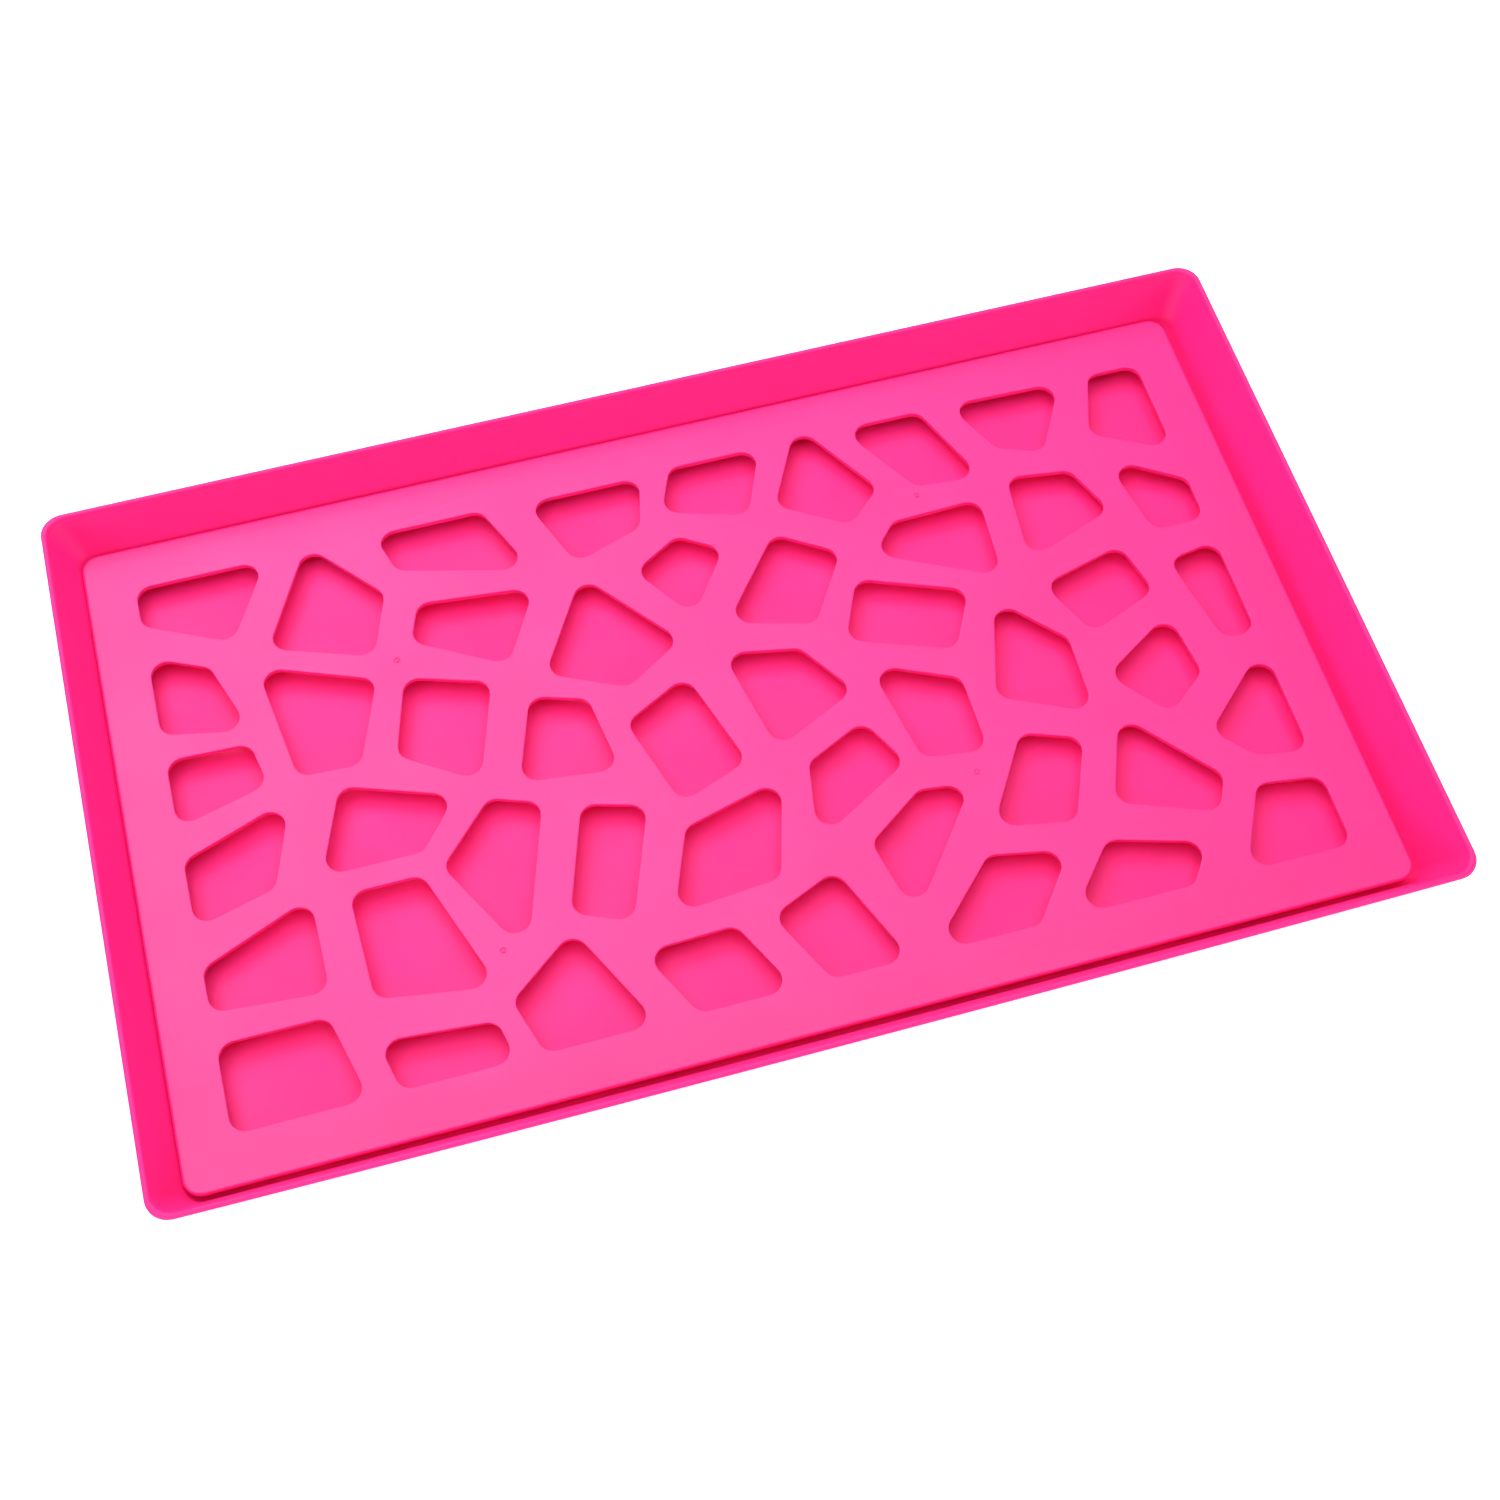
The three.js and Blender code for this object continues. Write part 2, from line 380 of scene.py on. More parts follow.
TRAY_PLASTIC = MouldedPlastic(
    name="pink_tray_plastic",
    colour=(0.94, 0.0125, 0.245),
    deep_colour=(0.93, 0.0110, 0.225),
    pale_colour=(0.97, 0.025, 0.27),
    roughness=0.56,
    satin_spread=0.10,
    scuff_roughness=0.66,
    specular=0.40,
    glow=0.25,
    glow_depth=(0.0022, 0.0002, 0.0004),
    grain_relief=0.00001,
    grain_scale=2200.0,
    pattern_turn=math.radians(31.0),
)

INSERT_PLASTIC = MouldedPlastic(
    name="pink_insert_plastic",
    colour=(0.94, 0.0125, 0.245),
    deep_colour=(0.93, 0.0110, 0.228),
    pale_colour=(0.97, 0.022, 0.26),
    roughness=0.44,
    satin_spread=0.08,
    scuff_roughness=0.58,
    specular=0.5,
    glow=0.25,
    glow_depth=(0.0022, 0.0002, 0.0004),
    grain_relief=0.000014,
    grain_scale=2600.0,
    pattern_turn=math.radians(-12.0),
)


# ---- mesh work ----------------------------------------------------------------------------------


def finished_piece(name: str, mesh: bpy.types.Mesh, material: bpy.types.Material) -> bpy.types.Object:
    """Turns a mesh into a piece at the origin, with its faces outwards.

    Args:
        name: The piece's name.
        mesh: Its closed mesh, in the frame's own place.
        material: Its finish.

    Returns:
        The piece, in the scene.
    """
    work = bmesh.new()
    work.from_mesh(mesh)
    bmesh.ops.recalc_face_normals(work, faces=work.faces)
    open_edges = sum(1 for edge in work.edges if not edge.is_manifold)
    work.to_mesh(mesh)
    work.free()
    mesh.name = name
    mesh.materials.clear()
    mesh.materials.append(material)
    piece = bpy.data.objects.new(name, mesh)
    bpy.context.scene.collection.objects.link(piece)
    LOG.info("%s: %d faces, %d open edges", name, len(mesh.polygons), open_edges)
    return piece


def arc(centre: tuple[float, float], radius: float, start: float, end: float,
        steps: int) -> list[tuple[float, float]]:
    """Points along an arc.

    Args:
        centre: Its middle.
        radius: Its radius.
        start: The angle it starts at.
        end: The angle it ends at.
        steps: How many straight steps it is drawn in.

    Returns:
        The points, one more than the steps.
    """
    turns = (start + (end - start) * step / steps for step in range(steps + 1))
    return [(centre[0] + radius * math.cos(a), centre[1] + radius * math.sin(a)) for a in turns]


# ---- the tray -----------------------------------------------------------------------------------


@dataclass(frozen=True)
class WallSet:
    """How far a moulded wall stands out from where it is drawn.

    Args:
        lip: At the lip.
        floor: At the floor.
        bow: Further out at the middle of the lip than at its ends.
    """

    lip: float = 0.0
    floor: float = 0.0
    bow: float = 0.0

    def at(self, lift: float) -> float:
        """How far the wall stands out at its ends, from 0 at the floor to 1 at the lip."""
        return self.floor + (self.lip - self.floor) * lift


@dataclass
class TrayShell:
    """The moulded tray: a flat floor, leaning walls and a rounded lip, in one thin shell."""

    finish: MouldedPlastic = TRAY_PLASTIC
    wall: float = 0.002
    floor: float = 0.002
    lean: float = math.radians(21.5)
    fillet: float = 0.005
    lip_corner: float = 0.0075
    floor_corner: float = 0.0030
    left: WallSet = WallSet()
    right: WallSet = WallSet(lip=0.0006, floor=0.0010)
    near: WallSet = WallSet(lip=-0.0010, floor=-0.0007, bow=0.0010)
    far: WallSet = WallSet(lip=0.0003, floor=0.0015)
    hold: float = 0.0005
    fillet_steps: int = 8
    lip_steps: int = 12
    corner_steps: int = 12
    long_steps: int = 24
    short_steps: int = 12

    def section(self, height: float) -> list[tuple[float, float]]:
        """The wall's section, from the underside over the lip to the floor.

        Args:
            height: The height of the lip above the underside.

        Returns:
            Points of distance in from the lip's outer edge, and height.
        """
        slope = math.tan(self.lean)
        reach = math.tan((math.pi / 2 - self.lean) / 2)
        outer = self.fillet + self.floor
        outer_foot = height * slope + outer * reach
        inner_foot = self.wall + (height - self.floor) * slope + self.fillet * reach
        lip = self.wall / 2
        outer_turn = arc((outer_foot, outer), outer, 1.5 * math.pi, math.pi + self.lean, self.fillet_steps)
        lip_turn = arc((lip, height - lip), lip, math.pi, 0.0, self.lip_steps)
        inner_turn = arc((inner_foot, self.floor + self.fillet), self.fillet,
                         math.pi + self.lean, 1.5 * math.pi, self.fillet_steps)
        up = (-math.sin(self.lean) * self.hold, math.cos(self.lean) * self.hold)
        return [
            (outer_foot + self.hold, 0.0),
            *outer_turn,
            (outer_turn[-1][0] + up[0], outer_turn[-1][1] + up[1]),
            (lip_turn[0][0] - up[0], lip_turn[0][1] - up[1]),
            *lip_turn,
            (lip_turn[-1][0] - up[0], lip_turn[-1][1] - up[1]),
            (inner_turn[0][0] + up[0], inner_turn[0][1] + up[1]),
            *inner_turn,
            (inner_foot + self.hold, self.floor),
        ]

    def ring(self, half: Vector, inset: float, corner: float, lift: float) -> list[Vector]:
        """One level outline of the tray, all the way round.

        Args:
            half: Half the tray's length and width over the lip.
            inset: How far in from the lip's outer edge it runs.
            corner: The radius of its corners.
            lift: Where it lies on the walls, from 0 at the floor to 1 at the lip.

        Returns:
            Its points, on the level of the underside.
        """
        x, y = half.x - inset, half.y - inset
        low = Vector((-x - self.left.at(lift), -y - self.near.at(lift)))
        high = Vector((x + self.right.at(lift), y + self.far.at(lift)))
        turns = []
        for quarter, (at_x, at_y) in enumerate(((high.x, high.y), (low.x, high.y), (low.x, low.y),
                                                (high.x, low.y))):
            centre = (at_x - math.copysign(corner, at_x), at_y - math.copysign(corner, at_y))
            start = quarter * math.pi / 2
            turns.append(arc(centre, corner, start, start + math.pi / 2, self.corner_steps))
        points: list[Vector] = []
        for quarter, turn in enumerate(turns):
            points.extend(Vector((*point, 0.0)) for point in turn)
            steps = self.long_steps if quarter % 2 == 0 else self.short_steps
            first, last = points[-1], Vector((*turns[(quarter + 1) % 4][0], 0.0))
            points.extend(first.lerp(last, step / steps) for step in range(1, steps))
        for point in points:
            wall, edge = (self.far, high.y) if point.y > 0 else (self.near, low.y)
            towards_middle = 1 - min(1.0, abs(point.x) / x) ** 2
            point.y += wall.bow * lift * math.copysign(point.y / edge, edge) * towards_middle
        return points

    def build(self) -> bpy.types.Object:
        """Lofts the shell and sets it in the tray's place.

        Returns:
            The finished piece.
        """
        low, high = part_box(TRAY_NODE)
        centre = (low + high) / 2
        half = (high - low) / 2
        section = self.section(high.z - low.z)
        deepest = max(inset for inset, _ in section)
        shell = bmesh.new()
        rings = []
        for inset, level in section:
            share = inset / deepest
            corner = self.lip_corner + (self.floor_corner - self.lip_corner) * share
            outline = self.ring(half, inset, corner, 1.0 - share)
            rings.append([shell.verts.new((p.x + centre.x, p.y + centre.y, low.z + level)) for p in outline])
        count = len(rings[0])
        for lower, upper in zip(rings, rings[1:]):
            for i in range(count):
                after = (i + 1) % count
                face = shell.faces.new((lower[i], lower[after], upper[after], upper[i]))
                face.smooth = True
        shell.faces.new(list(reversed(rings[0])))
        shell.faces.new(rings[-1])
        mesh = bpy.data.meshes.new("tray_moulding")
        shell.to_mesh(mesh)
        shell.free()
        return self.dress(mesh)

    def dress(self, mesh: bpy.types.Mesh) -> bpy.types.Object:
        """Gives the shell its finish and its place among the bodies.

        Args:
            mesh: The closed shell.

        Returns:
            The finished piece.
        """
        piece = finished_piece("tray_moulding", mesh, self.finish.build())
        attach(piece, Body.TRAY.value)
        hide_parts(TRAY_NODE)
        return piece


# ---- the insert ---------------------------------------------------------------------------------


@dataclass
class InsertPattern:
    """What the frame's insert says about its pattern: the openings, the feet and the marks.

    Args:
        outline: The plate's four corners.
        outline_radius: The radius of the plate's corners.
        openings: Each opening's four corners, with the radius of each.
        feet: The middle of each foot.
        marks: The middle of each moulding mark.
    """

    outline: list[Vector] = field(default_factory=list)
    outline_radius: float = 0.0055
    openings: list[list[tuple[Vector, float]]] = field(default_factory=list)
    feet: list[Vector] = field(default_factory=list)
    marks: list[Vector] = field(default_factory=list)

    FAR_SET = 0.0005  # how far the plate is set towards the far wall
    RIGHT_TRIM = 0.0006  # how much shorter it is at its right end
    ARC_POINTS = 5  # the points in each rounded corner of an opening
    MARK_GIRTH = 0.012  # a closed edge shorter than this is a mark's
    TOLERANCE = 0.00001  # how near a point lies to a level to be on it
    STRAIGHT = math.radians(0.5)  # a line that turns less than this runs straight

    @classmethod
    def read(cls) -> "InsertPattern":
        """Reads the pattern off the frame's insert.

        Returns:
            The pattern, in the frame's own place.
        """
        low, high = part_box(INSERT_NODE)
        found = cls(outline=[
            Vector((low.x, low.y + cls.FAR_SET, 0)),
            Vector((high.x - cls.RIGHT_TRIM, low.y + cls.FAR_SET, 0)),
            Vector((high.x - cls.RIGHT_TRIM, high.y + cls.FAR_SET, 0)),
            Vector((low.x, high.y + cls.FAR_SET, 0)),
        ])
        loops = sorted(cls._flat_loops(high.z), key=cls._girth)
        for loop in loops[:-1]:
            if cls._girth(loop) < cls.MARK_GIRTH:
                found.marks.append(sum(loop, Vector()) / len(loop))
            else:
                found.openings.append(cls._corners(loop))
        found.feet = [sum(loop, Vector()) / len(loop) for loop in cls._flat_loops(low.z)]
        LOG.info("pattern: %d openings, %d feet, %d marks", len(found.openings), len(found.feet),
                 len(found.marks))
        return found

    @classmethod
    def _flat_loops(cls, level: float) -> list[list[Vector]]:
        """The closed edges of the insert's flat faces at one height, each turning left."""
        work = bmesh.new()
        work.from_mesh(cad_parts[INSERT_NODE].data)
        bmesh.ops.remove_doubles(work, verts=work.verts, dist=cls.TOLERANCE / 10)
        flat = {f for f in work.faces if all(abs(v.co.z - level) < cls.TOLERANCE for v in f.verts)}
        rim: dict[int, list[bmesh.types.BMVert]] = {}
        for edge in {e for f in flat for e in f.edges}:
            if sum(1 for f in edge.link_faces if f in flat) == 1:
                a, b = edge.verts
                rim.setdefault(a.index, []).append(b)
                rim.setdefault(b.index, []).append(a)
        work.verts.ensure_lookup_table()
        loops = []
        waiting = set(rim)
        while waiting:
            first = min(waiting)
            waiting.discard(first)
            loop = [work.verts[first]]
            step = rim[first][0]
            while step.index in waiting:
                waiting.discard(step.index)
                loop.append(step)
                step = next((v for v in rim[step.index] if v.index in waiting), step)
            points = [Vector((v.co.x, v.co.y, 0.0)) for v in loop]
            points = cls._without_straights(points)
            turning = sum(a.x * b.y - b.x * a.y for a, b in zip(points, points[1:] + points[:1]))
            loops.append(points if turning > 0 else points[::-1])
        work.free()
        return loops

    @classmethod
    def _without_straights(cls, loop: list[Vector]) -> list[Vector]:
        """A closed line without the points that it runs straight through."""
        neighbours = zip(loop[-1:] + loop[:-1], loop, loop[1:] + loop[:1])
        return [here for before, here, after in neighbours
                if (here - before).angle(after - here) > cls.STRAIGHT]

    @staticmethod
    def _girth(loop: list[Vector]) -> float:
        """The length of a closed line."""
        return sum((b - a).length for a, b in zip(loop, loop[1:] + loop[:1]))

    @classmethod
    def _corners(cls, loop: list[Vector]) -> list[tuple[Vector, float]]:
        """The four sharp corners behind an opening's rounded outline, with the radius of each.

        Args:
            loop: The outline: four arcs of five points each, joined by straight sides.

        Returns:
            The corners in order, each with its radius.
        """
        count = len(loop)
        sides = [loop[(i + 1) % count] - loop[i] for i in range(count)]
        meetings = zip(sides[-1:] + sides[:-1], sides)
        turns = [math.atan2(before.cross(after).z, before.dot(after)) for before, after in meetings]

        def unevenness(start: int) -> float:
            """How far the turns are from four even arcs if an arc starts at this point."""
            error = 0.0
            for k in range(0, count, cls.ARC_POINTS):
                group = [turns[(start + k + j) % count] for j in range(cls.ARC_POINTS)]
                step = sum(group) / (cls.ARC_POINTS - 1)
                wanted = [step / 2, *[step] * (cls.ARC_POINTS - 2), step / 2]
                error += sum((a - b) ** 2 for a, b in zip(group, wanted))
            return error

        start = min(range(cls.ARC_POINTS), key=unevenness)
        corners = []
        for k in range(0, count, cls.ARC_POINTS):
            first, last = loop[(start + k) % count], loop[(start + k + cls.ARC_POINTS - 1) % count]
            turn = sum(turns[(start + k + j) % count] for j in range(cls.ARC_POINTS))
            chord = last - first
            outwards = Vector((chord.y, -chord.x, 0.0)).normalized()
            tip = (first + last) / 2 + outwards * (chord.length / 2 * math.tan(turn / 2))
            corners.append((tip, chord.length / 2 / math.sin(turn / 2)))
        return corners

    def mesh(self) -> bpy.types.Mesh:
        """The pattern as a flat mesh whose points say what they belong to.

        Returns:
            A face for the outline and for each opening, and a loose point for each foot and mark.
        """
        rows = [(corner, PatternPart.OUTLINE, self.outline_radius) for corner in self.outline]
        faces = [(0, 1, 2, 3)]
        for opening in self.openings:
            faces.append(tuple(range(len(rows), len(rows) + len(opening))))
            rows += [(tip, PatternPart.OPENING, radius) for tip, radius in opening]
        rows += [(place, PatternPart.FOOT, 0.0) for place in self.feet]
        rows += [(place, PatternPart.MARK, 0.0) for place in self.marks]
        mesh = bpy.data.meshes.new("insert_pattern")
        mesh.from_pydata([row[0] for row in rows], [], faces)
        parts = mesh.attributes.new("part", "INT", "POINT")
        parts.data.foreach_set("value", [int(row[1]) for row in rows])
        radii = mesh.attributes.new("corner_radius", "FLOAT", "POINT")
        radii.data.foreach_set("value", [row[2] for row in rows])
        return mesh


@dataclass
class InsertTree:
    """The Geometry Nodes tree that turns the insert's pattern into the moulded insert.

    Every edge is a small section swept round a closed line: round the plate, round each opening, round
    each foot and round each mark. The flat faces fill what lies between those lines.
    """

    bench: NodeBench = field(init=False)
    given: bpy.types.NodeOutputs = field(init=False)

    SIZES = (
        "Top", "Underside", "Foot Tip", "Shoulder", "Flare", "Lower Edge", "Opening Edge", "Opening Draft",
        "Opening Reach", "Foot Radius", "Foot Taper", "Foot Root", "Foot Rounding", "Mark Radius",
        "Mark Depth", "Mark Rim", "Nub Radius", "Nub Rise", "Hold",
    )
    WELD = 0.000002  # points nearer than this are made one
    DISH_FILLET = 0.0001  # the radius round the bottom of a mark's dish
    NUB_ROUNDING = 0.45  # the rounding of a nub's top, as a share of the nub's radius

    def build(self) -> bpy.types.NodeTree:
        """Wires the tree.

        Returns:
            The tree, with a named input for each size.
        """
        tree = bpy.data.node_groups.new("moulded_insert", "GeometryNodeTree")
        self.bench = bench = NodeBench(tree)
        bench.socket_in("Geometry", "NodeSocketGeometry")
        for size in self.SIZES:
            bench.socket_in(size, "NodeSocketFloat", 0.001)
        bench.socket_in("Corner Steps", "NodeSocketInt", 8)
        bench.socket_in("Edge Steps", "NodeSocketInt", 4)
        bench.socket_in("Round Steps", "NodeSocketInt", 24)
        bench.socket_in("Material", "NodeSocketMaterial")
        bench.socket_out("Geometry", "NodeSocketGeometry")
        self.given = given = bench.add("NodeGroupInput").outputs

        outline = self.outlines(PatternPart.OUTLINE)
        openings = self.outlines(PatternPart.OPENING)
        foot_rim = bench.math("ADD", given["Foot Radius"], given["Foot Root"])
        mark_rim = bench.math("ADD", given["Mark Radius"], given["Mark Rim"])
        feet = self.circles(PatternPart.FOOT, foot_rim)
        marks = self.circles(PatternPart.MARK, mark_rim)

        edges = [
            self.sweep(outline, self.plate_edge()),
            self.sweep(openings, self.opening_edge()),
            self.sweep(feet, self.foot_side(foot_rim)),
            self.sweep(marks, self.mark_dish(mark_rim)),
        ]
        opening_reach = bench.math("MULTIPLY", given["Opening Reach"], -1.0)
        shoulder = bench.math("ADD", given["Shoulder"], given["Hold"])
        shoulder_reach = bench.math("SUBTRACT", shoulder, given["Flare"])
        lower_reach = bench.math("ADD", given["Lower Edge"], given["Hold"])
        top = self.flat_face(
            [self.beside(outline, shoulder_reach), self.beside(openings, opening_reach), marks], given["Top"]
        )
        underside = self.flat_face(
            [self.beside(outline, lower_reach), self.beside(openings, opening_reach), feet],
            given["Underside"],
        )
        joined = bench.add("GeometryNodeJoinGeometry", {"Geometry": [*edges, top, underside]})
        welded = bench.add(
            "GeometryNodeMergeByDistance", {"Geometry": joined.outputs[0], "Distance": self.WELD}
        )
        real = bench.add("GeometryNodeRealizeInstances", {"Geometry": welded.outputs[0]})
        finished = bench.add(
            "GeometryNodeSetMaterial", {"Geometry": real.outputs[0], "Material": given["Material"]}
        )
        bench.add("NodeGroupOutput", {"Geometry": finished.outputs[0]})
        bench.lay_out()
        return tree

    def part(self, part: PatternPart) -> bpy.types.NodeSocket:
        """The piece of the pattern that belongs to one part."""
        tag = self.bench.add("GeometryNodeInputNamedAttribute", {"Name": "part"}, data_type="INT")
        same = self.bench.add("FunctionNodeCompare", data_type="INT", operation="EQUAL")
        whole = [socket for socket in same.inputs if socket.type == "INT"]
        self.bench.feed(whole[0], tag.outputs["Attribute"])
        self.bench.feed(whole[1], int(part))
        return self.bench.add(
            "GeometryNodeSeparateGeometry",
            {"Geometry": self.given["Geometry"], "Selection": same.outputs[0]},
            domain="POINT",
        ).outputs["Selection"]

    def outlines(self, part: PatternPart) -> bpy.types.NodeSocket:
        """The rounded outline of each face of one part, as closed level curves."""
        bench = self.bench
        radius = bench.add("GeometryNodeInputNamedAttribute", {"Name": "corner_radius"}, data_type="FLOAT")
        sharp = bench.add("GeometryNodeMeshToCurve", {"Mesh": self.part(part)})
        round_ = bench.add(
            "GeometryNodeFilletCurve",
            {
                "Curve": sharp.outputs[0], "Count": self.given["Corner Steps"],
                "Radius": radius.outputs["Attribute"], "Limit Radius": True,
            },
            mode="POLY",
        )
        return self.level(round_.outputs[0])

    def circles(self, part: PatternPart, radius: bpy.types.NodeSocket) -> bpy.types.NodeSocket:
        """A closed level circle at each point of one part."""
        bench = self.bench
        circle = bench.add(
            "GeometryNodeCurvePrimitiveCircle",
            {"Resolution": self.given["Round Steps"], "Radius": radius},
            mode="RADIUS",
        )
        placed = bench.add(
            "GeometryNodeInstanceOnPoints", {"Points": self.part(part), "Instance": circle.outputs["Curve"]}
        )
        real = bench.add("GeometryNodeRealizeInstances", {"Geometry": placed.outputs[0]})
        turned = bench.add("GeometryNodeReverseCurve", {"Curve": real.outputs[0]})
        return self.level(turned.outputs[0])

    def level(self, curve: bpy.types.NodeSocket) -> bpy.types.NodeSocket:
        """The curve with its normals held level, so that a section swept round it stays upright."""
        return self.bench.add("GeometryNodeSetCurveNormal", {"Curve": curve}, mode="Z_UP").outputs[0]

    def beside(self, curve: bpy.types.NodeSocket, distance: object) -> bpy.types.NodeSocket:
        """The curve moved sideways along its own normals."""
        normal = self.bench.add("GeometryNodeInputNormal").outputs[0]
        shift = self.bench.add("ShaderNodeVectorMath", {0: normal, "Scale": distance}, operation="SCALE")
        return self.bench.add(
            "GeometryNodeSetPosition", {"Geometry": curve, "Offset": shift.outputs[0]}
        ).outputs[0]

    def flat_face(self, rims: list[bpy.types.NodeSocket],
                  level: bpy.types.NodeSocket) -> bpy.types.NodeSocket:
        """A level face that fills the outermost rim and leaves the rims inside it open.

        Args:
            rims: The closed curves.
            level: Its height.

        Returns:
            The flat-shaded face.
        """
        bench = self.bench
        joined = bench.add("GeometryNodeJoinGeometry", {"Geometry": rims})
        filled = bench.add("GeometryNodeFillCurve", {"Curve": joined.outputs[0]}, mode="TRIANGLES")
        up = bench.add("ShaderNodeCombineXYZ", {"Z": level})
        raised = bench.add(
            "GeometryNodeTransform", {"Geometry": filled.outputs[0], "Translation": up.outputs[0]}
        )
        return bench.add(
            "GeometryNodeSetShadeSmooth", {"Geometry": raised.outputs[0], "Shade Smooth": False}
        ).outputs[0]

    def section(self, stations: list[tuple[object, object, object]]) -> bpy.types.NodeSocket:
        """An open section line with rounded corners.

        Args:
            stations: For each corner, how far in from the swept line, how high, and its radius.

        Returns:
            The section as a curve, its heights along -Y as the sweep takes them.
        """
        bench = self.bench
        line = bench.add("GeometryNodeMeshLine")
        bench.feed(line.inputs["Count"], len(stations))
        index = bench.add("GeometryNodeInputIndex").outputs[0]
        places = bench.add("GeometryNodeIndexSwitch", data_type="VECTOR")
        radii = bench.add("GeometryNodeIndexSwitch", data_type="FLOAT")
        for switch in (places, radii):
            while len(switch.index_switch_items) < len(stations):
                switch.index_switch_items.new()
            bench.feed(switch.inputs[0], index)
        for number, (inwards, height, radius) in enumerate(stations, start=1):
            drop = bench.math("MULTIPLY", height, -1.0)
            point = bench.add("ShaderNodeCombineXYZ", {"X": inwards, "Y": drop})
            bench.feed(places.inputs[number], point.outputs[0])
            bench.feed(radii.inputs[number], radius)
        placed = bench.add(
            "GeometryNodeSetPosition", {"Geometry": line.outputs[0], "Position": places.outputs[0]}
        )
        curve = bench.add("GeometryNodeMeshToCurve", {"Mesh": placed.outputs[0]})
        return bench.add(
            "GeometryNodeFilletCurve",
            {
                "Curve": curve.outputs[0], "Count": self.given["Edge Steps"],
                "Radius": radii.outputs[0], "Limit Radius": True,
            },
            mode="POLY",
        ).outputs[0]

    def sweep(self, path: bpy.types.NodeSocket, section: bpy.types.NodeSocket) -> bpy.types.NodeSocket:
        """The section swept round the path, smooth-shaded."""
        swept = self.bench.add("GeometryNodeCurveToMesh", {"Curve": path, "Profile Curve": section})
        return self.bench.add(
            "GeometryNodeSetShadeSmooth", {"Geometry": swept.outputs[0], "Shade Smooth": True}
        ).outputs[0]

    def plate_edge(self) -> bpy.types.NodeSocket:
        """The plate's outer edge: it leans out as it rises, with a wide rounding above and a small one
        below.
        """
        bench, given = self.bench, self.given
        out = bench.math("MULTIPLY", given["Flare"], -1.0)
        top_in = bench.math("ADD", out, bench.math("ADD", given["Shoulder"], given["Hold"]))
        low_in = bench.math("ADD", given["Lower Edge"], given["Hold"])
        return self.section([
            (top_in, given["Top"], 0.0),
            (out, given["Top"], given["Shoulder"]),
            (0.0, given["Underside"], given["Lower Edge"]),
            (low_in, given["Underside"], 0.0),
        ])

    def opening_edge(self) -> bpy.types.NodeSocket:
        """An opening's edge: it widens a little on its way down, with a small rounding above and below."""
        bench, given = self.bench, self.given
        out = bench.math("MULTIPLY", given["Opening Reach"], -1.0)
        low = bench.math("MULTIPLY", given["Opening Draft"], -1.0)
        return self.section([
            (out, given["Top"], 0.0),
            (0.0, given["Top"], given["Opening Edge"]),
            (low, given["Underside"], given["Opening Edge"]),
            (out, given["Underside"], 0.0),
        ])

    def foot_side(self, rim: bpy.types.NodeSocket) -> bpy.types.NodeSocket:
        """A foot: a root fillet, a tapering side, a rounded tip and the tip's face."""
        bench, given = self.bench, self.given
        tip_in = bench.math("ADD", given["Foot Root"], given["Foot Taper"])
        return self.section([
            (0.0, given["Underside"], 0.0),
            (given["Foot Root"], given["Underside"], given["Foot Root"]),
            (tip_in, given["Foot Tip"], given["Foot Rounding"]),
            (rim, given["Foot Tip"], 0.0),
        ])

    def mark_dish(self, rim: bpy.types.NodeSocket) -> bpy.types.NodeSocket:
        """A moulding mark: a shallow round dish with a small nub standing in it."""
        bench, given = self.bench, self.given
        dish = bench.math("SUBTRACT", given["Top"], given["Mark Depth"])
        nub_in = bench.math("SUBTRACT", rim, given["Nub Radius"])
        nub_top = bench.math("ADD", given["Top"], given["Nub Rise"])
        round_nub = bench.math("MULTIPLY", given["Nub Radius"], self.NUB_ROUNDING)
        return self.section([
            (0.0, given["Top"], 0.0),
            (given["Mark Rim"], given["Top"], given["Mark Rim"]),
            (given["Mark Rim"], dish, self.DISH_FILLET),
            (nub_in, dish, self.DISH_FILLET),
            (nub_in, nub_top, round_nub),
            (rim, nub_top, 0.0),
        ])


